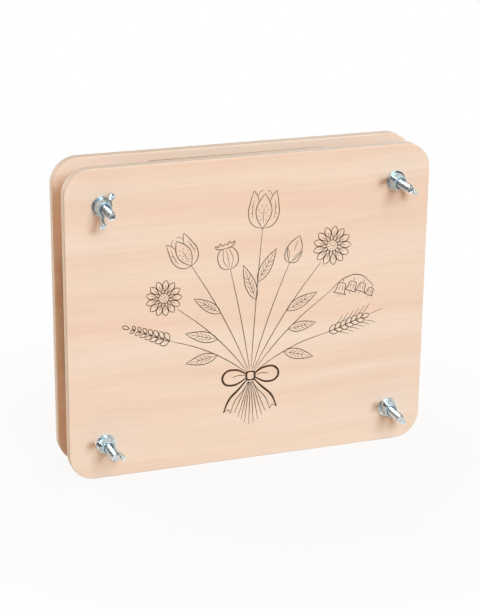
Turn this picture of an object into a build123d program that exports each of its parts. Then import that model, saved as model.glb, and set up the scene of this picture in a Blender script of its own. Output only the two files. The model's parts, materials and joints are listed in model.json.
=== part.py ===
from build123d import *
import math
import os

# A flower press: two plywood boards squeeze a pack of corrugated card and blotting paper,
# drawn together by four bolts with wing nuts. It stands on the long edges of its boards.
# Millimetres. X runs to the right and +Z up, the wing nuts face -Y, and the origin lies
# on the ground, in the middle of the press's box.

# Boards
board_width = 225.0
board_height = 190.0
board_thickness = 7.0
board_corner_radius = 16.0
board_edge_round = 0.8
bolt_inset = 22.0

# Sheets between the boards
card_count = 5
card_thickness = 3.1
blotter_thickness = 0.5
blotters_per_pair = 2
sheet_margin = 4.8
sheet_bolt_clearance = 11.0
flute_pitch = 7.0
flute_run = 2.0
liner_thickness = 0.3
flute_wall = 0.3

# Bolts: domed head, square neck that bites into the back board, chamfered end
bolt_diameter = 5.0
bolt_length = 55.0
bolt_end_chamfer = 0.6
head_diameter = 13.5
head_height = 3.3
neck_side = 5.5
neck_length = 3.5

# Washers
washer_diameter = 12.0
washer_thickness = 1.0

# Wing nuts
hub_base_diameter = 10.0
hub_top_diameter = 8.6
hub_height = 6.5
wing_span = 22.0
wing_height = 12.0
wing_thickness = 2.6
wing_tip_radius = 2.4
wing_root_height = 1.0
wing_edge_round = 0.9
wing_turns = (-46.0, -36.0, -33.0, 73.0)

# Clearances, each on the radius or on one side
neck_clearance = 0.05
back_hole_clearance = 0.3
front_hole_clearance = 0.5
washer_clearance = 0.3
thread_clearance = 0.05

# Sizes that follow from those above
blotter_pairs = card_count - 1
layer_thickness = card_thickness + blotters_per_pair * blotter_thickness
gap = card_count * card_thickness + blotter_pairs * blotters_per_pair * blotter_thickness
bolt_radius = bolt_diameter / 2
back_face_y = (bolt_length + head_height) / 2 - head_height
bolt_x = board_width / 2 - bolt_inset
bolt_z = board_height / 2 - bolt_inset
sheet_width = board_width - 2 * sheet_margin
sheet_height = board_height - 2 * sheet_margin
bolt_from_sheet_corner = bolt_inset - sheet_margin
sheet_corner_cut = 2 * bolt_from_sheet_corner + math.sqrt(2) * (bolt_radius + sheet_bolt_clearance)

# Bolts in order: bottom right, bottom left, top right, top left, seen from the front
bolt_places = [(side * bolt_x, level * bolt_z) for level in (-1, 1) for side in (1, -1)]


def seen_from_front(x, up, forward, turn=0.0):
    """Where a piece goes: its own XY faces the front, its Z points forward from the back face."""
    across = Vector(math.cos(math.radians(turn)), 0, math.sin(math.radians(turn)))
    origin = Vector(x, back_face_y - forward, board_height / 2 + up)
    return Location(Plane(origin=origin, x_dir=across, z_dir=(0, -1, 0)))


def board_blank():
    """A board with rounded corners and sanded edges, its back face on Z 0."""
    outline = RectangleRounded(board_width, board_height, board_corner_radius)
    blank = extrude(outline, board_thickness)
    rims = blank.faces().filter_by(Axis.Z).edges()
    return fillet(rims, board_edge_round)


def round_hole(x, up, radius, length):
    return Pos(x, up, 0) * extrude(Circle(radius), length)


def make_back_board():
    """The board with snug square pockets at its back for the bolts' necks."""
    pocket_side = neck_side + 2 * neck_clearance
    holes = []
    for x, up in bolt_places:
        holes.append(round_hole(x, up, bolt_radius + back_hole_clearance, board_thickness))
        holes.append(Pos(x, up, 0) * extrude(Rectangle(pocket_side, pocket_side), neck_length))
    return board_blank() - holes


def make_front_board():
    """The board that slides on the bolts."""
    radius = bolt_radius + front_hole_clearance
    return board_blank() - [round_hole(x, up, radius, board_thickness) for x, up in bolt_places]


def make_bolt():
    """A bolt with the underside of its domed head on Z 0 and its shank along Z."""
    shank = extrude(Circle(bolt_radius), bolt_length)
    shank = chamfer(shank.faces().sort_by(Axis.Z)[-1].edges(), bolt_end_chamfer)
    neck = extrude(Rectangle(neck_side, neck_side), neck_length)
    head_radius = head_diameter / 2
    dome_radius = (head_radius**2 + head_height**2) / (2 * head_height)
    dome_centre = dome_radius - head_height
    halfway = math.asin(head_radius / dome_radius) / 2
    crown = (0, -head_height)
    shoulder = (dome_radius * math.sin(halfway), dome_centre - dome_radius * math.cos(halfway))
    rim = (head_radius, 0)
    profile = make_face([Line((0, 0), rim), ThreePointArc(rim, shoulder, crown), Line(crown, (0, 0))])
    head = revolve(Plane.XZ * profile, Axis.Z)
    return head + neck + shank


def make_washer():
    ring = Circle(washer_diameter / 2) - Circle(bolt_radius + washer_clearance)
    return extrude(ring, washer_thickness)


def wing_outline():
    """One wing's outline, X out from the axis: it leans out from the hub's foot to a round tip."""
    tip = Vector(wing_span / 2 - wing_tip_radius, wing_height - wing_tip_radius)
    root = Vector(0, wing_root_height)
    foot = Vector(hub_base_diameter / 2 - wing_edge_round, wing_root_height)
    to_tip = tip - foot
    lean = math.atan2(to_tip.Y, to_tip.X) - math.asin(wing_tip_radius / to_tip.length)
    run = math.sqrt(to_tip.length**2 - wing_tip_radius**2)
    outer = foot + Vector(run * math.cos(lean), run * math.sin(lean))
    top = tip + Vector(0, wing_tip_radius)
    inner = tip - Vector(wing_tip_radius, 0)
    saddle = Vector(hub_top_diameter / 2 - wing_edge_round, hub_height)
    middle = Vector(0, hub_height)
    edges = [
        Line(root, foot),
        Line(foot, outer),
        ThreePointArc(outer, top, inner),
        TangentArc(inner, saddle, tangent=(0, -1)),
        Line(saddle, middle),
        Line(middle, root),
    ]
    return make_face(edges)


def make_wing_nut():
    """A wing nut with its base on Z 0 and its wings along X."""
    hub = Solid.make_cone(hub_base_diameter / 2, hub_top_diameter / 2, hub_height)
    plate = extrude(Plane.XZ * wing_outline(), wing_thickness / 2, both=True)
    rims = plate.faces().filter_by(Axis.Y).edges()
    rims_outside_hub = rims.filter_by(lambda rim: rim.center().X > hub_top_diameter / 2)
    wing = fillet(rims_outside_hub, wing_edge_round)
    bore = extrude(Circle(bolt_radius + thread_clearance), wing_height)
    return hub + wing + Rot(0, 0, 180) * wing - bore


def sheet_blank(thickness):
    """A sheet whose corners are cut off on the slant to pass the bolts."""
    outline = Rectangle(sheet_width, sheet_height)
    return extrude(chamfer(outline.vertices(), sheet_corner_cut), thickness)


def flute_channel(points_up):
    """The hollow beside one flute: wide on one liner, narrow under the other."""
    core = card_thickness - 2 * liner_thickness
    wall_across = flute_wall * math.hypot(1, flute_run / core)
    depth = core - flute_wall
    wide = flute_pitch / 4 + flute_run / 2 - wall_across / 2
    narrow = wide - flute_run * depth / core
    corners = [(-wide, 0), (wide, 0), (narrow, depth), (-narrow, depth)]
    if points_up:
        return [(x, liner_thickness + rise) for x, rise in corners]
    return [(x, card_thickness - liner_thickness - rise) for x, rise in corners]


def make_cardboard():
    """A corrugated card: two liners and a folded wall between them, its flutes upright."""
    half_pitch = flute_pitch / 2
    channel_count = int(sheet_width / half_pitch) - 1
    section = Rectangle(sheet_width, card_thickness, align=(Align.CENTER, Align.MIN))
    hollows = []
    for index in range(channel_count):
        x = (index - (channel_count - 1) / 2) * half_pitch
        hollows.append(Pos(x, 0) * Polygon(*flute_channel(index % 2 == 0), align=None))
    fluted = extrude(Plane.XZ * (section - hollows), sheet_height / 2, both=True)
    return sheet_blank(card_thickness) & fluted


def make_blotter():
    return sheet_blank(blotter_thickness)


def place_all():
    """Every piece of the press at its place, by name."""
    front_back = board_thickness + gap
    front_face = front_back + board_thickness
    pieces = {
        "back_board": seen_from_front(0, 0, 0) * make_back_board(),
        "front_board": seen_from_front(0, 0, front_back) * make_front_board(),
    }
    bolt, washer, nut = make_bolt(), make_washer(), make_wing_nut()
    for number, (x, up) in enumerate(bolt_places, 1):
        turn = wing_turns[number - 1]
        pieces[f"bolt_{number}"] = seen_from_front(x, up, 0) * bolt
        pieces[f"washer_{number}"] = seen_from_front(x, up, front_face) * washer
        pieces[f"wing_nut_{number}"] = seen_from_front(x, up, front_face + washer_thickness, turn) * nut
    card, blotter = make_cardboard(), make_blotter()
    for layer in range(card_count):
        forward = board_thickness + layer * layer_thickness
        pieces[f"cardboard_{layer + 1}"] = seen_from_front(0, 0, forward) * card
    for pair in range(blotter_pairs):
        for leaf in range(blotters_per_pair):
            forward = board_thickness + pair * layer_thickness + card_thickness + leaf * blotter_thickness
            number = pair * blotters_per_pair + leaf + 1
            pieces[f"blotter_{number}"] = seen_from_front(0, 0, forward) * blotter
    return pieces


os.makedirs("parts", exist_ok=True)
for name, piece in place_all().items():
    export_step(piece, f"parts/{name}.step")
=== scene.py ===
import cmath
import json
import math
import random

import bmesh
import bpy
from mathutils import Matrix, Vector

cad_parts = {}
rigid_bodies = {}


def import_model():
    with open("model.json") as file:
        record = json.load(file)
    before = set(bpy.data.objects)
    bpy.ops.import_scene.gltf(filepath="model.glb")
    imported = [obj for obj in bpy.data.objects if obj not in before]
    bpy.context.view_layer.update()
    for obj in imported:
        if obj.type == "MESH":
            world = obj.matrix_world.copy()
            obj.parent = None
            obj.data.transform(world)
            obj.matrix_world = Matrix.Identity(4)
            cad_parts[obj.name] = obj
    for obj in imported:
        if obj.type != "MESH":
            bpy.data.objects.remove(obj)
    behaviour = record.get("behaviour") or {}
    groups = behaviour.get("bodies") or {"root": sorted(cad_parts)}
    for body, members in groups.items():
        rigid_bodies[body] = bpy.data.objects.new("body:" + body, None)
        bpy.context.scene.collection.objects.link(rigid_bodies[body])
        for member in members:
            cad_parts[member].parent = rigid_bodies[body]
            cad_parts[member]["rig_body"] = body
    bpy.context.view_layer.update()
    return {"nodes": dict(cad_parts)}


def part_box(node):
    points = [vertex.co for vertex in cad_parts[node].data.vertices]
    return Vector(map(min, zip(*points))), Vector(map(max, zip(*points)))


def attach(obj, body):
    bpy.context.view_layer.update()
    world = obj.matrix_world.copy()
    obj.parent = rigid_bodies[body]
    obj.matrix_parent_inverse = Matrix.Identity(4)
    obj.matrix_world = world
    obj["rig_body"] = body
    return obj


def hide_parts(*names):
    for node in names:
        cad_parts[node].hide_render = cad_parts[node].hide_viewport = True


# A flower press: two plywood boards, a pack of corrugated card and blotting paper between them,
# and four bolts with washers and wing nuts. Shapes are drawn in millimetres; MM makes them metres.

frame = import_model()
MM = 0.001
whole_turn = 2 * math.pi

# Points nearer than these lie on a cut, are welded, or count as touching
cut_gap = 1e-5
weld_gap = 1e-4
touch_gap = 1e-3

# Degrees by which the faces turn at an edge: past rim_angle the edge is a rim to soften, and below
# the piece's own angle it is shaded smooth
rim_angle = 60.0
smooth_angles = {"bolt": 28.0, "washer": 35.0, "wing_nut": 180.0, "sheet": 40.0}

# Bolts and washers
bolt_count = 4
bolt_radius = 2.5
bolt_length = 55.0
bolt_end_chamfer = 0.6
bolt_end_rim = 0.25
bolt_end_dish = 0.1
thread_pitch = 0.8
thread_depth = 0.43
thread_root_radius = bolt_radius - thread_depth
thread_steps = 24
thread_start_in_neck = 0.3
head_radius = 6.75
head_height = 3.3
head_steps = 48
head_arc_steps = 10
neck_side = 5.5
neck_length = 3.5
neck_edge_round = 0.4
washer_radius = 6.0
washer_bore_radius = 2.8
washer_thickness = 1.0
washer_rim_round = 0.22
washer_steps = 64

# Wing nuts
wing_turns = (-46.0, -36.0, -33.0, 73.0)
nut_cage_sides = 12
nut_bore_radius = 2.6
hub_base_radius = 5.0
hub_waist_radius = 4.75
hub_waist_height = 3.6
hub_top_radius = 3.9
hub_height = 6.5
hub_crease = 0.6
wing_root_height = 1.0
forging_levels = 3

# A wing's cage from root to tip: its low, middle and high points, each out from the axis and up, and
# half its thickness there
wing_sections = [
    ((6.3, 2.5), (5.5, 4.6), (4.9, 6.8), 1.25),
    ((8.4, 5.0), (7.0, 6.6), (5.6, 8.0), 1.3),
    ((10.6, 7.4), (8.3, 8.5), (6.0, 9.6), 1.45),
    ((11.4, 9.3), (8.9, 10.3), (6.3, 11.3), 1.5),
    ((11.1, 10.9), (9.1, 11.75), (7.1, 12.6), 1.5),
    ((10.4, 11.2), (9.1, 11.75), (7.8, 12.3), 0.9),
]

# How dark the metal is painted, from 0 to 1: painted shade at the thread's roots, the bolt's end, the head's
# rim and the nut's bore and foot, over a dull head crown
thread_root_shade = 0.5
bolt_end_shade = 0.15
head_crown_grime = 0.25
head_rim_shade = 0.55
nut_bore_shade = 1.0
nut_foot_shade = 0.6

# Sheets
card_count = 5
blotter_count = 8
sheet_corner_cut = 53.5
sheet_slip = 0.3
sheet_skew = 0.1
sheet_seed = 4
blotter_rim_round = 0.12
liner_thickness = 0.3
flute_pitch = 7.0
flute_wall = 0.3
flute_steps = 12

# Drawing on the front board, with the posy's tie as a complex number from the board's middle
fine_line = 0.34
bold_line = 0.5
brush_line = 1.3
dot_size = 0.75
line_rise = 0.08
line_end_taper = 0.6
tie = -41j

# Wood: plies in a board, where in the grain each board is cut, colours as red, green, blue and 1, and
# the share in which a colour covers those below it
ply_count = 5
grain_shifts = {"front_board": (3.53, 0.0, 1.95), "back_board": (3.36, 0.4, 5.19)}
pale_wood = (0.88, 0.7, 0.56, 1)
warm_wood = (0.87, 0.665, 0.52, 1)
deep_wood = (0.85, 0.61, 0.46, 1)
fibre_shade = (0.955, 0.945, 0.935, 1)
pore_brown = (0.62, 0.42, 0.29, 1)
pore_share = 0.3
long_grain = (0.84, 0.7, 0.575, 1)
end_grain = (0.57, 0.475, 0.395, 1)
speckle_shade = (0.91, 0.9, 0.88, 1)
glue_brown = (0.36, 0.25, 0.16, 1)
glue_share = 0.45

# Metal: colours, and the share in which each covers the plain zinc
zinc_bloom = (0.62, 0.64, 0.58, 1)
bloom_share = 0.3
coarse_zinc = (0.51, 0.7, 0.82, 1)
coarse_share = 0.8
# The black of the painted shade in the metal's hollows and joins, and of the head's dull crown
shade_and_grime_black = (0.06, 0.068, 0.075, 1)
shade_and_grime_share = 0.85

# How high bumps in a surface stand, in metres
bump_height = 0.0001

# Studio: where the lamps point, in metres, the floor, and the glow of the room that faces the press
press_middle = (0, 0, 0.1)
floor_half_side = 8.0
floor_paint = (0.7, 0.6, 0.5, 1)
dim_room = 0.12


# Shader building


def add_node(tree, kind, values=None, **settings):
    """Adds a node; values go on its inputs, by name or number, and a socket among them is linked."""
    node = tree.nodes.new(kind)
    for name, setting in settings.items():
        setattr(node, name, setting)
    for name, value in (values or {}).items():
        if isinstance(value, bpy.types.NodeSocket):
            tree.links.new(value, node.inputs[name])
        else:
            node.inputs[name].default_value = value
    return node


def calc(tree, operation, first, second=0.0, third=0.0):
    values = {0: first, 1: second, 2: third}
    return add_node(tree, "ShaderNodeMath", values, operation=operation).outputs[0]


def fit_range(tree, value, low, high, to_low=0.0, to_high=1.0):
    values = {0: value, 1: low, 2: high, 3: to_low, 4: to_high}
    return add_node(tree, "ShaderNodeMapRange", values).outputs[0]


def mix_colours(tree, share, first, second, blend="MIX"):
    values = {0: share, 6: first, 7: second}
    return add_node(tree, "ShaderNodeMix", values, data_type="RGBA", blend_type=blend).outputs[2]


def stretched_noise(tree, place, waves, detail=2.0):
    """Noise from 0 to 1 with so many waves a metre along each axis."""
    spread = add_node(tree, "ShaderNodeVectorMath", {0: place, 1: waves}, operation="MULTIPLY")
    values = {"Vector": spread.outputs[0], "Scale": 1.0, "Detail": detail}
    return add_node(tree, "ShaderNodeTexNoise", values).outputs[0]


def raise_surface(tree, surface, height, strength):
    values = {"Height": height, "Strength": strength, "Distance": bump_height}
    bump = add_node(tree, "ShaderNodeBump", values)
    tree.links.new(bump.outputs[0], surface.inputs["Normal"])


def new_group(name, inputs, outputs):
    """A shader node group: inputs by name with their kind, and outputs that are values from 0 to 1."""
    group = bpy.data.node_groups.new(name, "ShaderNodeTree")
    for label, kind in inputs.items():
        group.interface.new_socket(name=label, in_out="INPUT", socket_type=kind)
    for label in outputs:
        group.interface.new_socket(name=label, in_out="OUTPUT", socket_type="NodeSocketFloat")
    given = group.nodes.new("NodeGroupInput").outputs
    return group, given, group.nodes.new("NodeGroupOutput").inputs


def use_group(tree, group, values):
    return add_node(tree, "ShaderNodeGroup", values, node_tree=group).outputs


def new_material(name):
    """A material with its node tree, its Principled shader and the place on its piece."""
    material = bpy.data.materials.new(name)
    material.use_nodes = True
    tree = material.node_tree
    spot = add_node(tree, "ShaderNodeTexCoord").outputs
    return material, tree, tree.nodes["Principled BSDF"], spot


def colour_surface(tree, surface, colour):
    tree.links.new(colour, surface.inputs["Base Color"])


def make_wood_figure():
    """Wood with its grain along X: broad bands, fine fibres and short pores."""
    group, given, result = new_group(
        "wood_figure", {"Place": "NodeSocketVector"}, ["Bands", "Fibres", "Pores"]
    )
    sway = stretched_noise(group, given["Place"], (5, 5, 12))
    lift = calc(group, "MULTIPLY_ADD", sway, 0.03, -0.015)
    offset = add_node(group, "ShaderNodeCombineXYZ", {"Z": lift}).outputs[0]
    swayed = add_node(group, "ShaderNodeVectorMath", {0: given["Place"], 1: offset}, operation="ADD")
    grain = swayed.outputs[0]
    group.links.new(stretched_noise(group, grain, (3, 30, 60), detail=4.0), result["Bands"])
    group.links.new(stretched_noise(group, grain, (14, 300, 620), detail=4.0), result["Fibres"])
    dashes = stretched_noise(group, grain, (110, 900, 1500))
    group.links.new(fit_range(group, dashes, 0.66, 0.76), result["Pores"])
    return group


def make_ply_layers():
    """A board's plies: end grain on every other edge, glue lines, speckled edges and the flat faces."""
    inputs = {
        "Place": "NodeSocketVector", "Facing": "NodeSocketVector",
        "Front": "NodeSocketFloat", "Back": "NodeSocketFloat",
    }
    group, given, result = new_group("ply_layers", inputs, ["End Grain", "Glue", "Speckle", "Flat"])
    facing = add_node(group, "ShaderNodeSeparateXYZ", {0: given["Facing"]}).outputs
    side = calc(group, "POWER", calc(group, "ABSOLUTE", facing["X"]), 2.0)
    end = calc(group, "POWER", calc(group, "ABSOLUTE", facing["Z"]), 2.0)
    depth = add_node(group, "ShaderNodeSeparateXYZ", {0: given["Place"]}).outputs["Y"]
    plies = fit_range(group, depth, given["Front"], given["Back"], 0.0, ply_count)
    crosswise = calc(group, "FLOORED_MODULO", calc(group, "FLOOR", plies), 2.0)
    across = calc(group, "MULTIPLY_ADD", crosswise, calc(group, "SUBTRACT", end, side), side)
    group.links.new(across, result["End Grain"])
    from_glue = calc(group, "PINGPONG", plies, 0.5)
    from_middle = calc(group, "ABSOLUTE", calc(group, "SUBTRACT", plies, ply_count / 2))
    inside = calc(group, "LESS_THAN", from_middle, (ply_count - 1) / 2)
    lines = calc(group, "MULTIPLY", fit_range(group, from_glue, 0.03, 0.09, 1.0, 0.0), inside)
    group.links.new(lines, result["Glue"])
    speckle = stretched_noise(group, given["Place"], (1500, 1500, 1500), detail=3.0)
    group.links.new(fit_range(group, speckle, 0.35, 0.7), result["Speckle"])
    group.links.new(fit_range(group, calc(group, "ABSOLUTE", facing["Y"]), 0.55, 0.85), result["Flat"])
    return group


def make_zinc_spangle():
    """Zinc plating: a faint mottle, broad drifts of bloom and fine scratches."""
    group, given, result = new_group(
        "zinc_spangle", {"Place": "NodeSocketVector"}, ["Mottle", "Bloom", "Scratches"]
    )
    group.links.new(stretched_noise(group, given["Place"], (420, 420, 420), detail=3.0), result["Mottle"])
    bloom = stretched_noise(group, given["Place"], (160, 160, 160))
    group.links.new(fit_range(group, bloom, 0.5, 0.75), result["Bloom"])
    group.links.new(stretched_noise(group, given["Place"], (900, 900, 900), detail=3.0), result["Scratches"])
    return group


def make_paper_fibres():
    """Pulp: a soft felted cloud and sparse flecks."""
    group, given, result = new_group("paper_fibres", {"Place": "NodeSocketVector"}, ["Felt", "Flecks"])
    group.links.new(stretched_noise(group, given["Place"], (700, 700, 700), detail=5.0), result["Felt"])
    specks = stretched_noise(group, given["Place"], (420, 900, 1300), detail=1.0)
    group.links.new(fit_range(group, specks, 0.66, 0.74), result["Flecks"])
    return group


wood_figure = make_wood_figure()
ply_layers = make_ply_layers()
zinc_spangle = make_zinc_spangle()
paper_fibres = make_paper_fibres()


def make_plywood(name, board, shift):
    """Bare plywood: long grain on the faces, plies and their glue lines round the edges."""
    material, tree, surface, spot = new_material(name)
    shifted = add_node(tree, "ShaderNodeMapping", {"Vector": spot["Object"], "Location": shift})
    wood = use_group(tree, wood_figure, {"Place": shifted.outputs[0]})
    front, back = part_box(board)
    layers = use_group(
        tree, ply_layers,
        {"Place": spot["Object"], "Facing": spot["Normal"], "Front": front.y, "Back": back.y},
    )

    face = mix_colours(tree, fit_range(tree, wood["Bands"], 0.34, 0.52), pale_wood, warm_wood)
    face = mix_colours(tree, fit_range(tree, wood["Bands"], 0.5, 0.68), face, deep_wood)
    face = mix_colours(tree, fit_range(tree, wood["Fibres"], 0.3, 0.7), face, fibre_shade, "MULTIPLY")
    face = mix_colours(tree, calc(tree, "MULTIPLY", wood["Pores"], pore_share), face, pore_brown)

    edge = mix_colours(tree, layers["End Grain"], long_grain, end_grain)
    edge = mix_colours(tree, layers["Speckle"], edge, speckle_shade, "MULTIPLY")
    edge = mix_colours(tree, calc(tree, "MULTIPLY", layers["Glue"], glue_share), edge, glue_brown)

    colour_surface(tree, surface, mix_colours(tree, layers["Flat"], edge, face))
    tree.links.new(fit_range(tree, wood["Fibres"], 0.3, 0.7, 0.5, 0.66), surface.inputs["Roughness"])
    grooves = calc(tree, "SUBTRACT", wood["Fibres"], calc(tree, "MAXIMUM", wood["Pores"], layers["Glue"]))
    raise_surface(tree, surface, grooves, strength=0.18)
    return material


def make_zinc(name, dull, clear, roughness):
    """Zinc-plated steel, darkened by painted shade and grime where a piece carries them, and matt where its
    casting is coarse.
    """
    material, tree, surface, spot = new_material(name)
    plating = use_group(tree, zinc_spangle, {"Place": spot["Object"]})
    shade_and_grime = add_node(tree, "ShaderNodeAttribute", attribute_name="shade_and_grime").outputs["Fac"]
    coarse = add_node(tree, "ShaderNodeAttribute", attribute_name="coarse").outputs["Fac"]
    colour = mix_colours(tree, fit_range(tree, plating["Mottle"], 0.35, 0.65), dull, clear)
    colour = mix_colours(tree, calc(tree, "MULTIPLY", plating["Bloom"], bloom_share), colour, zinc_bloom)
    colour = mix_colours(tree, calc(tree, "MULTIPLY", coarse, coarse_share), colour, coarse_zinc)
    # Darkens the metal with painted shade in its hollows, joins and head rim, and with the head's dull tone
    colour = mix_colours(tree, calc(tree, "MULTIPLY", shade_and_grime, shade_and_grime_share), colour, shade_and_grime_black)
    colour_surface(tree, surface, colour)
    tree.links.new(calc(tree, "MULTIPLY_ADD", coarse, -0.35, 0.95), surface.inputs["Metallic"])
    polish = fit_range(tree, plating["Mottle"], 0.3, 0.7, 0.7 * roughness, 1.3 * roughness)
    matt = calc(tree, "MULTIPLY_ADD", coarse, 0.1, polish)
    tree.links.new(calc(tree, "MULTIPLY_ADD", shade_and_grime, 0.25, matt), surface.inputs["Roughness"])
    raise_surface(tree, surface, plating["Scratches"], strength=0.3)
    return material


def make_paper(name, plain, cloud, fleck, fleck_share):
    """A pulp paper: its plain colour, a cloudy second one and scattered flecks."""
    material, tree, surface, spot = new_material(name)
    fibres = use_group(tree, paper_fibres, {"Place": spot["Object"]})
    colour = mix_colours(tree, fit_range(tree, fibres["Felt"], 0.35, 0.65), plain, cloud)
    colour = mix_colours(tree, calc(tree, "MULTIPLY", fibres["Flecks"], fleck_share), colour, fleck)
    colour_surface(tree, surface, colour)
    tree.links.new(fit_range(tree, fibres["Felt"], 0.3, 0.7, 0.82, 0.96), surface.inputs["Roughness"])
    raise_surface(tree, surface, fibres["Felt"], strength=0.4)
    return material


def make_burnt_line():
    """The brown of a line burnt into wood, paler where the grain resisted."""
    material, tree, surface, spot = new_material("burnt_line")
    patches = stretched_noise(tree, spot["Object"], (90, 90, 260), detail=3.0)
    dark = (0.05, 0.028, 0.016, 1)
    pale = (0.15, 0.082, 0.046, 1)
    colour_surface(tree, surface, mix_colours(tree, fit_range(tree, patches, 0.4, 0.75), dark, pale))
    surface.inputs["Roughness"].default_value = 0.8
    surface.inputs["Specular IOR Level"].default_value = 0.1
    return material


# Piece building


def facing_front(x, y, z, turn=0.0):
    """Takes millimetres, with Z towards the front and Y up, to a point in metres, turned in degrees."""
    across, up = math.cos(math.radians(turn)), math.sin(math.radians(turn))
    rows = ((across, -up, 0, x), (0, 0, -1, y), (up, across, 0, z), (0, 0, 0, 1))
    return Matrix(rows) @ Matrix.Scale(MM, 4)


def stand_in(bm, node, material, placing, smooth_angle):
    """Makes a drawn shape the piece that stands for a CAD node and moves with its body."""
    bmesh.ops.recalc_face_normals(bm, faces=bm.faces)
    bmesh.ops.transform(bm, matrix=placing, verts=bm.verts)
    mesh = bpy.data.meshes.new(node + "_piece")
    bm.to_mesh(mesh)
    bm.free()
    mesh.shade_smooth()
    mesh.set_sharp_from_angle(angle=math.radians(smooth_angle))
    mesh.materials.append(material)
    piece = bpy.data.objects.new(node + "_piece", mesh)
    bpy.context.scene.collection.objects.link(piece)
    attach(piece, frame["nodes"][node]["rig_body"])
    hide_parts(node)
    return piece


def chain(bm, points, closed=False):
    """Vertices joined by edges, as geometry to spin or extrude."""
    verts = [bm.verts.new(point) for point in points]
    follow = verts[1:] + verts[:1] if closed else verts[1:]
    return verts + [bm.edges.new(pair) for pair in zip(verts, follow)]


def lathe(bm, profile, steps, closed=False):
    """Spins an outline of (radius, height) points once round the Z axis."""
    outline = chain(bm, [(radius, 0, height) for radius, height in profile], closed)
    bmesh.ops.spin(
        bm, geom=outline, cent=(0, 0, 0), axis=(0, 0, 1), angle=whole_turn, steps=steps, use_merge=True
    )
    bmesh.ops.remove_doubles(bm, verts=bm.verts, dist=weld_gap)


def round_rims(bm, edges, offset, segments):
    bmesh.ops.bevel(
        bm, geom=edges, offset=offset, offset_type="OFFSET", segments=segments, profile=0.5,
        affect="EDGES", material=-1, clamp_overlap=True,
    )


def sharp_edges(bm):
    return [edge for edge in bm.edges if edge.calc_face_angle(0.0) > math.radians(rim_angle)]


def add_head(bm):
    """The bolt's domed head, its flat underside on Z 0, with painted shade that deepens towards its rim."""
    dome_radius = (head_radius**2 + head_height**2) / (2 * head_height)
    dome_middle = dome_radius - head_height
    half_angle = math.asin(head_radius / dome_radius)
    profile = []
    for step in range(head_arc_steps + 1):
        angle = half_angle * step / head_arc_steps
        profile.append((dome_radius * math.sin(angle), dome_middle - dome_radius * math.cos(angle)))
    profile.append((0, 0))
    lathe(bm, profile, head_steps)
    shade_and_grime = bm.verts.layers.float["shade_and_grime"]
    # Painted shade deepens from the dull crown out to the rim
    for vert in bm.verts:
        if vert.co.z < touch_gap:
            outward = vert.co.xy.length / head_radius
            vert[shade_and_grime] = head_crown_grime + (head_rim_shade - head_crown_grime) * outward


def add_neck(bm):
    """The square neck under the head, with its long edges eased."""
    size = (neck_side, neck_side, neck_length)
    middle = Matrix.Translation((0, 0, neck_length / 2))
    made = bmesh.ops.create_cube(bm, size=1.0, matrix=middle @ Matrix.Diagonal((*size, 1)))
    edges = {edge for vert in made["verts"] for edge in vert.link_edges}
    long_edges = [edge for edge in edges if abs((edge.verts[0].co - edge.verts[1].co).z) > touch_gap]
    round_rims(bm, long_edges, neck_edge_round, 2)


def wind_thread(bm):
    """One turn of thread, copied along the bolt past both ends of the shank."""
    # Where the outline of one pitch bends, as a share of the pitch, and its radius there
    bends = (
        (0.0, thread_root_radius), (0.2, thread_root_radius), (0.51, bolt_radius), (0.69, bolt_radius),
        (1.0, thread_root_radius),
    )
    start = neck_length - 2 * thread_pitch
    outline = chain(bm, [(radius, 0, start + share * thread_pitch) for share, radius in bends])
    bmesh.ops.spin(
        bm, geom=outline, cent=(0, 0, 0), axis=(0, 0, 1), angle=whole_turn, steps=thread_steps,
        dvec=(0, 0, thread_pitch / thread_steps),
    )
    first_turn = bm.verts[:] + bm.edges[:] + bm.faces[:]
    for turn in range(1, int((bolt_length - start) / thread_pitch) + 2):
        made = bmesh.ops.duplicate(bm, geom=first_turn)["geom"]
        verts = [part for part in made if isinstance(part, bmesh.types.BMVert)]
        bmesh.ops.translate(bm, verts=verts, vec=(0, 0, turn * thread_pitch))
    bmesh.ops.remove_doubles(bm, verts=bm.verts, dist=touch_gap)


def cut_thread(bm, height, upward):
    """Cuts the thread off square at a height, upward 1 or downward -1, and closes the cut."""
    cut = bmesh.ops.bisect_plane(
        bm, geom=bm.verts[:] + bm.edges[:] + bm.faces[:], dist=cut_gap, plane_co=(0, 0, height),
        plane_no=(0, 0, upward), clear_outer=True,
    )
    # Points of the cut that lie within a tenth of the pitch would leave slivers
    rim = [part for part in cut["geom_cut"] if isinstance(part, bmesh.types.BMVert)]
    bmesh.ops.remove_doubles(bm, verts=rim, dist=thread_pitch / 10)
    open_edges = [
        edge for edge in bm.edges
        if edge.is_boundary and abs(edge.verts[0].co.z - height) < touch_gap
    ]
    bmesh.ops.edgeloop_fill(bm, edges=open_edges)


def finish_thread(bm):
    """Paints shade into the thread's roots, then chamfers and dishes the bolt's end, which gets a little
    painted shade.
    """
    shade_and_grime = bm.verts.layers.float.new("shade_and_grime")
    chamfer_start = bolt_length - bolt_end_chamfer
    for vert in bm.verts:
        radius = vert.co.xy.length
        # Painted shade in the thread's roots
        if radius < thread_root_radius + 0.1 * thread_depth and vert.co.z < chamfer_start:
            vert[shade_and_grime] = thread_root_shade
        widest = bolt_radius - (vert.co.z - chamfer_start)
        if vert.co.z > chamfer_start and radius > widest:
            vert.co.xy *= widest / radius
    bmesh.ops.recalc_face_normals(bm, faces=bm.faces)
    end = [
        face for face in bm.faces
        if len(face.verts) > thread_steps / 2 and face.calc_center_median().z > neck_length
    ]
    bmesh.ops.inset_region(bm, faces=end, thickness=bolt_end_rim, depth=-bolt_end_dish)
    # A little painted shade on the bolt's dished end
    for vert in end[0].verts:
        vert[shade_and_grime] = bolt_end_shade


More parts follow.
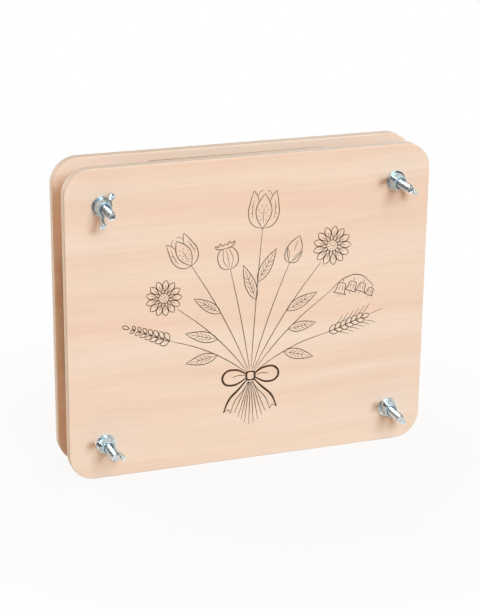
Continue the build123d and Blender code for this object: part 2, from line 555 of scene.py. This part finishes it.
def draw_bolt():
    """A bolt with a threaded shank, a domed head and a square neck."""
    bm = bmesh.new()
    wind_thread(bm)
    cut_thread(bm, neck_length - thread_start_in_neck, -1)
    cut_thread(bm, bolt_length, 1)
    finish_thread(bm)
    add_head(bm)
    add_neck(bm)
    return bm


def draw_washer():
    """A stamped washer, its rims rounded."""
    bm = bmesh.new()
    profile = [
        (washer_bore_radius, 0), (washer_radius, 0), (washer_radius, washer_thickness),
        (washer_bore_radius, washer_thickness),
    ]
    lathe(bm, profile, washer_steps, closed=True)
    bmesh.ops.recalc_face_normals(bm, faces=bm.faces)
    round_rims(bm, sharp_edges(bm), washer_rim_round, 3)
    return bm


def add_hub(bm):
    """The hub's cage, whose corners stand out further than the hub, because smoothing draws them in."""
    corner_reach = 1 / (2 / 3 + math.cos(whole_turn / nut_cage_sides) / 3)
    profile = [
        (nut_bore_radius, 0), (hub_base_radius, 0), (hub_base_radius, wing_root_height),
        (hub_waist_radius, hub_waist_height), (hub_top_radius, hub_height), (nut_bore_radius, hub_height),
    ]
    lathe(bm, [(radius * corner_reach, height) for radius, height in profile], nut_cage_sides, closed=True)
    half_side = Matrix.Rotation(-math.pi / nut_cage_sides, 3, "Z")
    bmesh.ops.rotate(bm, verts=bm.verts, cent=(0, 0, 0), matrix=half_side)
    bmesh.ops.recalc_face_normals(bm, faces=bm.faces)
    shade_and_grime = bm.verts.layers.float.new("shade_and_grime")
    coarse = bm.verts.layers.float.new("coarse")
    for vert in bm.verts:
        vert[coarse] = 1.0
        # Painted shade in the bore and along the foot where the nut meets the washer
        if vert.co.xy.length < (nut_bore_radius + hub_top_radius) / 2:
            vert[shade_and_grime] = nut_bore_shade
        elif vert.co.z < wing_root_height / 2:
            vert[shade_and_grime] = nut_foot_shade


def grow_wing(bm, side):
    """Draws one wing's cage out of the hub, on the side where X is 1 or -1."""
    coarse = bm.verts.layers.float["coarse"]
    outward = Vector((side, 0, 0))
    grown = [
        face for face in bm.faces
        if face.normal.dot(outward) > 0.9
        and face.calc_center_median().dot(outward) > nut_bore_radius
        and face.calc_center_median().z > wing_root_height
    ]
    for low, middle, high, half in wing_sections:
        made = bmesh.ops.extrude_face_region(bm, geom=grown)["geom"]
        bmesh.ops.delete(bm, geom=grown, context="FACES_KEEP_BOUNDARY")
        grown = [part for part in made if isinstance(part, bmesh.types.BMFace)]
        corners = sorted({vert for face in grown for vert in face.verts}, key=lambda vert: vert.co.z)
        for index, (reach, height) in enumerate((low, middle, high)):
            for vert in corners[2 * index:2 * index + 2]:
                vert.co = (side * reach, math.copysign(half, vert.co.y), height)
                vert[coarse] = 0.0


def draw_wing_nut():
    """A forged wing nut's cage: a turned hub whose wings are drawn out of its sides."""
    bm = bmesh.new()
    crease = bm.edges.layers.float.new("crease_edge")
    add_hub(bm)
    hub = set(bm.verts)
    grow_wing(bm, 1)
    grow_wing(bm, -1)
    for edge in sharp_edges(bm):
        around = {vert for face in edge.link_faces for vert in face.verts}
        if around <= hub:
            edge[crease] = hub_crease
    return bm


def make_fixing(number, shapes, metals):
    """One corner's bolt, washer and wing nut, the nut's cage smoothed."""
    low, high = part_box(f"washer_{number}")
    x, z = (low.x + high.x) / 2, (low.z + high.z) / 2
    backs = {name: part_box(f"{name}_{number}")[1].y for name in shapes}
    backs["bolt"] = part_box("back_board")[1].y
    made = {}
    for name, shape in shapes.items():
        turn = wing_turns[number - 1] if name == "wing_nut" else 0.0
        placing = facing_front(x, backs[name], z, turn)
        made[name] = stand_in(
            shape.copy(), f"{name}_{number}", metals[name], placing, smooth_angles[name]
        )
    smoothing = made["wing_nut"].modifiers.new("forged", "SUBSURF")
    smoothing.levels = smoothing.render_levels = forging_levels


def add_sheet(bm, width, height, thickness, forward):
    """A flat sheet with slanting corners, its back at a height along Z."""
    middle = Matrix.Translation((0, 0, forward + thickness / 2))
    made = bmesh.ops.create_cube(bm, size=1.0, matrix=middle @ Matrix.Diagonal((width, height, thickness, 1)))
    edges = {edge for vert in made["verts"] for edge in vert.link_edges}
    corners = [edge for edge in edges if (edge.verts[0].co - edge.verts[1].co).xy.length < touch_gap]
    round_rims(bm, corners, sheet_corner_cut, 1)


def add_flutes(bm, width, height, thickness):
    """The card's wavy middle sheet, cut to the corners and given its thickness."""
    waves = width / flute_pitch
    columns = int(waves * flute_steps)
    swing = (thickness - 2 * liner_thickness - flute_wall) / 2
    before = set(bm.verts)
    size = Matrix.Diagonal((width / 2, height / 2, 1, 1))
    bmesh.ops.create_grid(bm, x_segments=columns, y_segments=1, size=1.0, matrix=size)
    wavy = [vert for vert in bm.verts if vert not in before]
    for vert in wavy:
        vert.co.z = thickness / 2 + swing * math.cos(whole_turn * vert.co.x / flute_pitch)
    for along in (1, -1):
        for up in (1, -1):
            wavy = [vert for vert in bm.verts if vert not in before]
            edges = {edge for vert in wavy for edge in vert.link_edges}
            faces = {face for vert in wavy for face in vert.link_faces}
            bmesh.ops.bisect_plane(
                bm, geom=wavy + list(edges) + list(faces), dist=cut_gap,
                plane_co=(along * (width / 2 - sheet_corner_cut), up * height / 2, 0),
                plane_no=(along, up, 0), clear_outer=True,
            )
    faces = {face for vert in bm.verts if vert not in before for face in vert.link_faces}
    bmesh.ops.solidify(bm, geom=list(faces), thickness=flute_wall)
    wavy = [vert for vert in bm.verts if vert not in before]
    lowest = min(vert.co.z for vert in wavy)
    bmesh.ops.translate(bm, verts=wavy, vec=(0, 0, liner_thickness - lowest))


def sheet_size(node):
    """The node's width, height and thickness in millimetres, and its middle and back in metres."""
    low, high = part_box(node)
    width, thickness, height = (high - low) / MM
    return width, height, thickness, (low.x + high.x) / 2, high.y, (low.z + high.z) / 2


def slipped(x, y, z, chance):
    """A sheet's place, a hair off true as a hand lays it."""
    x += chance.uniform(-sheet_slip, sheet_slip) * MM
    z += chance.uniform(-sheet_slip, sheet_slip) * MM
    return facing_front(x, y, z, chance.uniform(-sheet_skew, sheet_skew))


def make_card(number, kraft, chance):
    """A corrugated card: two liners and the wavy sheet between them."""
    node = f"cardboard_{number}"
    width, height, thickness, x, y, z = sheet_size(node)
    bm = bmesh.new()
    add_flutes(bm, width, height, thickness)
    add_sheet(bm, width, height, liner_thickness, 0.0)
    add_sheet(bm, width, height, liner_thickness, thickness - liner_thickness)
    stand_in(bm, node, kraft, slipped(x, y, z, chance), smooth_angles["sheet"])


def make_blotter(number, blotting, chance):
    """A sheet of blotting paper, its rims soft."""
    node = f"blotter_{number}"
    width, height, thickness, x, y, z = sheet_size(node)
    bm = bmesh.new()
    add_sheet(bm, width, height, thickness, 0.0)
    bmesh.ops.recalc_face_normals(bm, faces=bm.faces)
    round_rims(bm, sharp_edges(bm), blotter_rim_round, 2)
    stand_in(bm, node, blotting, slipped(x, y, z, chance), smooth_angles["sheet"])


# The posy: strokes are lists of complex numbers, x right and y up in millimetres, with a width


def placed(strokes, at, lean=0.0, size=1.0):
    """Strokes moved to a point and leaned to the right by an angle in degrees."""
    turn = cmath.rect(size, -math.radians(lean))
    return [([at + point * turn for point in points], width) for points, width in strokes]


def both_sides(strokes):
    """Strokes with their mirror image across the upright line."""
    return strokes + [([-point.conjugate() for point in points], width) for points, width in strokes]


def dots(places):
    return [([place - 0.3 * dot_size, place, place + 0.3 * dot_size], dot_size) for place in places]


def leaf_side(length, width, belly):
    """One side of a leaf or petal, from its base at the origin up to its tip."""
    shares = [step / 6 for step in range(7)]
    return [complex(width / 2 * math.sin(math.pi * share**belly), length * share) for share in shares]


def petal(length, width, belly=1.15):
    return both_sides([(leaf_side(length, width, belly), bold_line)])


def leaf(length, width):
    """A leaf with its midrib and a few slanting veins."""
    strokes = petal(length, width, 0.8)
    strokes.append(([0j, 0.5j * length, 0.86j * length], fine_line))
    for share in (0.2, 0.325, 0.45, 0.575):
        reach = 0.36 * width * math.sin(math.pi * share**0.8)
        start = 1j * length * share
        vein = [start, start + complex(0.5 * reach, 0.055 * length), start + complex(reach, 0.14 * length)]
        strokes += both_sides([(vein, fine_line)])
    return strokes


def tulip():
    """Three pointed petals, the front one before the two outer ones."""
    outer = [0j, 5 + 1.5j, 8.2 + 7j, 7.6 + 14j, 6.2 + 20j]
    inner = [6.2 + 20j, 4.2 + 17.6j, 3.1 + 14.6j]
    behind = [3.9 + 17.4j, 2.4 + 19.6j, 0.9 + 20.4j]
    rib = [5.9 + 5.5j, 6.2 + 10j, 5.7 + 15j]
    freckles = dots([1.5 + 4.5j, 2.4 + 6.6j, 1.2 + 8.2j, 2.6 + 9.8j, 1.3 + 12j, 6.9 + 8j, 6.6 + 11.5j])
    lines = [(outer, bold_line), (inner, bold_line), (behind, fine_line), (rib, fine_line)]
    strokes = both_sides(lines + freckles)
    return strokes + petal(18.5, 8.6, 1.0) + [([2.5j, 7j, 11j], fine_line)]


def daisy():
    """A daisy seen from the front, on top of its stem: a ring of petals round a dotted disc."""
    disc, petal_length, petal_count, dot_count = 3.3, 8.4, 13, 8
    middle = 1j * (disc + petal_length)
    strokes = []
    for number in range(petal_count):
        lean = 360 * number / petal_count
        foot = middle + cmath.rect(disc, math.radians(90 - lean))
        strokes += placed(petal(petal_length, 3.7, 1.5) + [([1.6j, 3.4j, 5j], fine_line)], foot, lean)
    strokes.append(([middle + cmath.rect(disc, whole_turn * step / 12) for step in range(13)], bold_line))
    ring = [middle + cmath.rect(0.62 * disc, whole_turn * number / dot_count) for number in range(dot_count)]
    return strokes + dots(ring + [middle, middle + 0.9, middle - 0.9])


def bell():
    """A small bell flower that hangs from the origin."""
    side = [0j, 2.2 - 0.5j, 3.0 - 3.4j, 3.3 - 5.6j, 4.7 - 7.6j]
    rim = [4.7 - 7.6j, 3.0 - 7.2j, 1.5 - 7.5j, -6.6j]
    rib = [0.9 - 1.6j, 1.2 - 3.8j, 1.3 - 5.4j]
    strokes = both_sides([(side, bold_line), (rim, bold_line), (rib, fine_line)])
    return strokes + [([-7.2j, -8.6j, -9.8j], fine_line)]


def bell_spray():
    """A stem's drooping end with bells along it."""
    strokes = [([0j, 6 + 11j, 15 + 16j, 25 + 13j], bold_line)]
    for share in (0, 1 / 3, 2 / 3, 1):
        knot = complex(5.5 + 19.5 * share, 10.4 + 12.4 * share - 9.6 * share**2)
        hang = knot + 0.6 - 2.6j
        strokes.append(([knot, knot + 0.5 - 1.1j, hang], fine_line))
        strokes += placed(bell(), hang, -6 + 8 * share, 0.92 - 0.28 * share)
    return strokes


def spike():
    """A flower spike: pairs of buds that grow smaller towards the tip."""
    pairs = 7
    strokes = [([0j, 12j, 26j], fine_line)]
    for number in range(pairs):
        size = 1.0 - 0.55 * number / pairs
        strokes += both_sides(placed(petal(6.2, 3.1), complex(0.25, 3.8 * number), 38, size))
    return strokes + placed(petal(4.6, 2.2), 26.5j)


def wheat_ear():
    """An ear of grain with long fine awns."""
    grain = petal(7.0, 3.3)
    awned = grain + [([7j, 11.5j + 0.5, 15.5j + 1.6], fine_line)]
    strokes = [([0j, 13j, 25j], fine_line)]
    for number in range(6):
        strokes += both_sides(placed(awned, complex(0.2, 4.3 * number), 24))
    return strokes + placed(grain, 25.5j) + [([32.5j, 38j, 43j], fine_line)]


def seed_head():
    """A round seed head with ribs and a scalloped crown."""
    side = [0j, 4.4 + 1.6j, 6.3 + 6.5j, 5.0 + 11.6j, 2.6 + 13.4j]
    rib = [0.8 + 1.0j, 2.9 + 5.5j, 2.4 + 10.5j, 1.5 + 13.2j]
    crown = [16.2j, 1.6 + 15.4j, 2.9 + 16.8j, 4.3 + 15.3j, 6.0 + 16.2j, 5.2 + 14.2j, 2.6 + 13.4j, 13.3j]
    strokes = both_sides([(side, bold_line), (rib, fine_line), (crown, bold_line)])
    return strokes + [([1.5j, 7j, 12.5j], fine_line)]


def bud():
    """A closed bud in its two small cup leaves."""
    cup = [0j, 2.6 + 0.8j, 4.1 + 3.6j, 4.4 + 7.4j]
    lap = [4.4 + 7.4j, 2.4 + 5.4j, 0.9 + 2.0j]
    strokes = petal(14.5, 7.6, 1.0) + both_sides([(cup, bold_line), (lap, fine_line)])
    return strokes + [([6.5j, 9j, 12j], fine_line)]


def bow():
    """A ribbon's knot with two loops and two tails."""
    knot = [2.8j, 2.3 + 2.1j, 2.6 + 0j, 2.3 - 2.1j, -2.8j]
    loop = [2.5 + 1.2j, 9 + 4.6j, 16.5 + 3.2j, 17.2 - 2.6j, 11 - 5.0j, 2.5 - 1.2j]
    fold = [3.2 + 0.3j, 7.5 + 0.9j, 11.5 + 0.2j]
    tail_out = [2.1 - 2.3j, 7.5 - 8j, 13.5 - 14j, 17.0 - 22j]
    tail_in = [0.9 - 2.8j, 4.2 - 8.6j, 9.8 - 15.4j, 12.6 - 23j]
    tail_end = [17.0 - 22j, 14.2 - 20.6j, 12.6 - 23j]
    lines = [(line, brush_line) for line in (knot, loop, tail_out)]
    lines += [(line, bold_line) for line in (tail_in, tail_end, fold)]
    return both_sides(lines)


# Each stem: its lean in degrees, its length above the tie, the head it carries, its lean and size
posy_stems = [
    (-61, 58, spike, -67, 1.0),
    (-44, 66, daisy, -48, 0.95),
    (-27, 82, tulip, -30, 1.0),
    (-11, 70, seed_head, -12, 1.0),
    (4, 92, tulip, 4, 1.15),
    (19, 73, bud, 21, 1.2),
    (33, 80, daisy, 36, 1.05),
    (46, 69, bell_spray, 23, 1.0),
    (66, 55, wheat_ear, 72, 0.85),
]
# Each leaf: the stem it grows on, how far up, its turn from the stem, its length and width
posy_leaves = [
    (0, 0.45, -38, 20, 6.5),
    (1, 0.50, -30, 21, 6.5),
    (2, 0.56, -30, 20, 6.0),
    (4, 0.52, -24, 24, 6.5),
    (4, 0.64, 26, 23, 6.5),
    (6, 0.56, 30, 22, 6.5),
    (7, 0.52, 36, 18, 6.0),
    (8, 0.45, 40, 20, 6.5),
]


def stem_point(lean, length, share):
    """A point on a stem, which bends outwards as it rises from the tie."""
    return tie + cmath.rect(length * share, math.radians(90 - lean * (0.78 + 0.22 * share)))


def posy():
    """A bunch of stems fanned out of a bow, each with its flower, bud or ear."""
    strokes = placed(bow(), tie)
    for lean, length, head, head_lean, size in posy_stems:
        rise = [stem_point(lean, length, share) for share in (0.06, 0.3, 0.65, 1.0)]
        strokes.append((rise, bold_line))
        strokes += placed(head(), rise[-1], head_lean, size)
        foot_angle = math.radians(-90 - lean * 0.36)
        reaches = (4, 16, 32 - abs(lean) * 0.1)
        strokes.append(([tie + cmath.rect(reach, foot_angle) for reach in reaches], bold_line))
    for stem, share, turn, length, width in posy_leaves:
        lean, stem_length = posy_stems[stem][:2]
        strokes += placed(leaf(length, width), stem_point(lean, stem_length, share), lean + turn)
    return strokes


def stroke_curve(strokes):
    """The strokes as one curve whose lines are thinner at their ends."""
    curve = bpy.data.curves.new("posy_lines", "CURVE")
    curve.dimensions = "3D"
    curve.bevel_depth = 1.0
    curve.bevel_resolution = 0
    curve.resolution_u = 5
    curve.use_fill_caps = True
    for points, width in strokes:
        spline = curve.splines.new("BEZIER")
        spline.bezier_points.add(len(points) - 1)
        for index, (knot, point) in enumerate(zip(spline.bezier_points, points)):
            knot.co = (point.real, point.imag, 0)
            knot.handle_left_type = knot.handle_right_type = "AUTO"
            at_end = index in (0, len(points) - 1)
            knot.radius = width / 2 * (line_end_taper if at_end else 1.0)
    return curve


def make_drawing(strokes, burnt):
    """The posy's lines as thin brown ridges on the front board."""
    drawn = bpy.data.objects.new("posy_lines", stroke_curve(strokes))
    bpy.context.scene.collection.objects.link(drawn)
    shown = drawn.evaluated_get(bpy.context.evaluated_depsgraph_get())
    mesh = bpy.data.meshes.new_from_object(shown)
    bpy.data.objects.remove(drawn)
    low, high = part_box("front_board")
    flat = Matrix.Diagonal((1, 1, line_rise, 1))
    bm = bmesh.new()
    bm.from_mesh(mesh)
    bmesh.ops.remove_doubles(bm, verts=bm.verts, dist=weld_gap)
    placing = facing_front((low.x + high.x) / 2, low.y, (low.z + high.z) / 2)
    bmesh.ops.transform(bm, matrix=placing @ flat, verts=bm.verts)
    bmesh.ops.recalc_face_normals(bm, faces=bm.faces)
    bm.to_mesh(mesh)
    bm.free()
    mesh.materials.clear()
    mesh.materials.append(burnt)
    drawing = bpy.data.objects.new("posy_drawing", mesh)
    bpy.context.scene.collection.objects.link(drawing)
    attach(drawing, "front_board")


# Studio


def show_white(tree, kind, near):
    """A white glow and the share in which it covers a shader, for what the eye sees straight or in metal.
    In metal the glow fades as near falls from 1 to 0, because the room before the press is dim."""
    rays = add_node(tree, "ShaderNodeLightPath").outputs
    straight = calc(tree, "MAXIMUM", rays["Is Camera Ray"], rays["Is Transmission Ray"])
    strength = calc(tree, "MAXIMUM", straight, fit_range(tree, near, 0.0, 1.0, dim_room, 1.0))
    glow = add_node(tree, kind, {"Color": (1, 1, 1, 1), "Strength": strength}).outputs[0]
    share = calc(tree, "MAXIMUM", straight, rays["Is Glossy Ray"])
    return glow, share


def make_floor():
    """A white floor that keeps a soft shadow."""
    bm = bmesh.new()
    bmesh.ops.create_grid(bm, x_segments=1, y_segments=1, size=floor_half_side)
    mesh = bpy.data.meshes.new("floor")
    bm.to_mesh(mesh)
    bm.free()
    floor = bpy.data.objects.new("floor", mesh)
    bpy.context.scene.collection.objects.link(floor)
    material = bpy.data.materials.new("white_floor")
    material.use_nodes = True
    tree = material.node_tree
    tree.nodes.remove(tree.nodes["Principled BSDF"])
    paint = add_node(tree, "ShaderNodeBsdfDiffuse", {"Color": floor_paint}).outputs[0]
    place = add_node(tree, "ShaderNodeTexCoord").outputs["Object"]
    distance = add_node(tree, "ShaderNodeVectorMath", {0: place}, operation="LENGTH").outputs["Value"]
    forward = add_node(tree, "ShaderNodeSeparateXYZ", {0: place}).outputs["Y"]
    glow, share = show_white(tree, "ShaderNodeEmission", fit_range(tree, forward, -0.45, -0.2))
    # Near the press a share of the paint, and of the shadow on it, shows through the glow
    fade = fit_range(tree, distance, 0.08, 0.3, 0.9, 1.0)
    values = {0: calc(tree, "MULTIPLY", share, fade), 1: paint, 2: glow}
    mixed = add_node(tree, "ShaderNodeMixShader", values).outputs[0]
    tree.links.new(mixed, tree.nodes["Material Output"].inputs["Surface"])
    mesh.materials.append(material)


def light_world(colour, strength):
    """An even surround that lights softly and shows as plain white."""
    world = bpy.data.worlds.new("studio")
    bpy.context.scene.world = world
    world.use_nodes = True
    tree = world.node_tree
    dim = tree.nodes["Background"]
    dim.inputs["Color"].default_value = colour
    dim.inputs["Strength"].default_value = strength
    direction = add_node(tree, "ShaderNodeTexCoord").outputs["Generated"]
    forward = add_node(tree, "ShaderNodeSeparateXYZ", {0: direction}).outputs["Y"]
    white, share = show_white(tree, "ShaderNodeBackground", fit_range(tree, forward, -0.2, 0.3))
    mixed = add_node(tree, "ShaderNodeMixShader", {0: share, 1: dim.outputs[0], 2: white}).outputs[0]
    tree.links.new(mixed, tree.nodes["World Output"].inputs["Surface"])


def add_lamp(name, place, width, height, watts, colour):
    """A softbox that faces the press."""
    lamp = bpy.data.lights.new(name, "AREA")
    lamp.shape = "RECTANGLE"
    lamp.size = width
    lamp.size_y = height
    lamp.energy = watts
    lamp.color = colour
    holder = bpy.data.objects.new(name, lamp)
    holder.location = place
    holder.rotation_mode = "QUATERNION"
    holder.rotation_quaternion = (Vector(press_middle) - Vector(place)).to_track_quat("-Z", "Y")
    bpy.context.scene.collection.objects.link(holder)


def add_camera():
    """The photograph's viewpoint: a long lens from the left, looking down on the press."""
    lens = bpy.data.cameras.new("camera")
    lens.lens = 105.73
    lens.sensor_width = 36.0
    place = Matrix.Translation((-0.3426, -0.9477, 0.4544))
    heading = Matrix.Rotation(math.radians(-19.64), 4, "Z")
    tilt = Matrix.Rotation(math.radians(70.44), 4, "X")
    roll = Matrix.Rotation(math.radians(0.573), 4, "Z")
    camera = bpy.data.objects.new("camera", lens)
    camera.matrix_world = place @ heading @ tilt @ roll
    bpy.context.scene.collection.objects.link(camera)
    bpy.context.scene.camera = camera


# The press

for board, shift in grain_shifts.items():
    node = frame["nodes"][board]
    node.data.materials.clear()
    node.data.materials.append(make_plywood(board + "_plywood", board, shift))

bright = make_zinc("bright_zinc", dull=(0.68, 0.71, 0.72, 1), clear=(0.86, 0.88, 0.88, 1), roughness=0.25)
satin = make_zinc("satin_zinc", dull=(0.52, 0.58, 0.595, 1), clear=(0.79, 0.845, 0.85, 1), roughness=0.18)
metals = {"bolt": bright, "washer": satin, "wing_nut": satin}
shapes = {"bolt": draw_bolt(), "washer": draw_washer(), "wing_nut": draw_wing_nut()}
for number in range(1, bolt_count + 1):
    make_fixing(number, shapes, metals)
for shape in shapes.values():
    shape.free()

chance = random.Random(sheet_seed)
kraft = make_paper(
    "kraft_card", plain=(0.5, 0.32, 0.18, 1), cloud=(0.58, 0.39, 0.23, 1), fleck=(0.24, 0.14, 0.075, 1),
    fleck_share=0.6,
)
blotting = make_paper(
    "blotting_felt", plain=(0.8, 0.76, 0.67, 1), cloud=(0.88, 0.84, 0.75, 1), fleck=(0.6, 0.55, 0.46, 1),
    fleck_share=0.4,
)
for number in range(1, card_count + 1):
    make_card(number, kraft, chance)
for number in range(1, blotter_count + 1):
    make_blotter(number, blotting, chance)

make_drawing(posy(), make_burnt_line())

make_floor()
light_world(colour=(1.0, 0.57, 0.28, 1), strength=0.4)
add_lamp("key_lamp", (0.6, -3.4, 1.95), width=1.5, height=1.6, watts=117.0, colour=(0.73, 0.94, 1.09))
add_lamp("top_lamp", (0, -0.6, 2.4), width=1.6, height=1.6, watts=12.0, colour=(1, 1, 1))
add_lamp("left_rim", (-1.25, 1.35, 0.6), width=0.8, height=0.8, watts=21.0, colour=(0.9, 0.94, 0.92))
add_lamp("back_fill", (1.2, 1.7, 0.45), width=1.0, height=1.0, watts=9.0, colour=(0.8, 1.0, 1.2))
add_camera()
bpy.context.scene.view_settings.view_transform = "Standard"
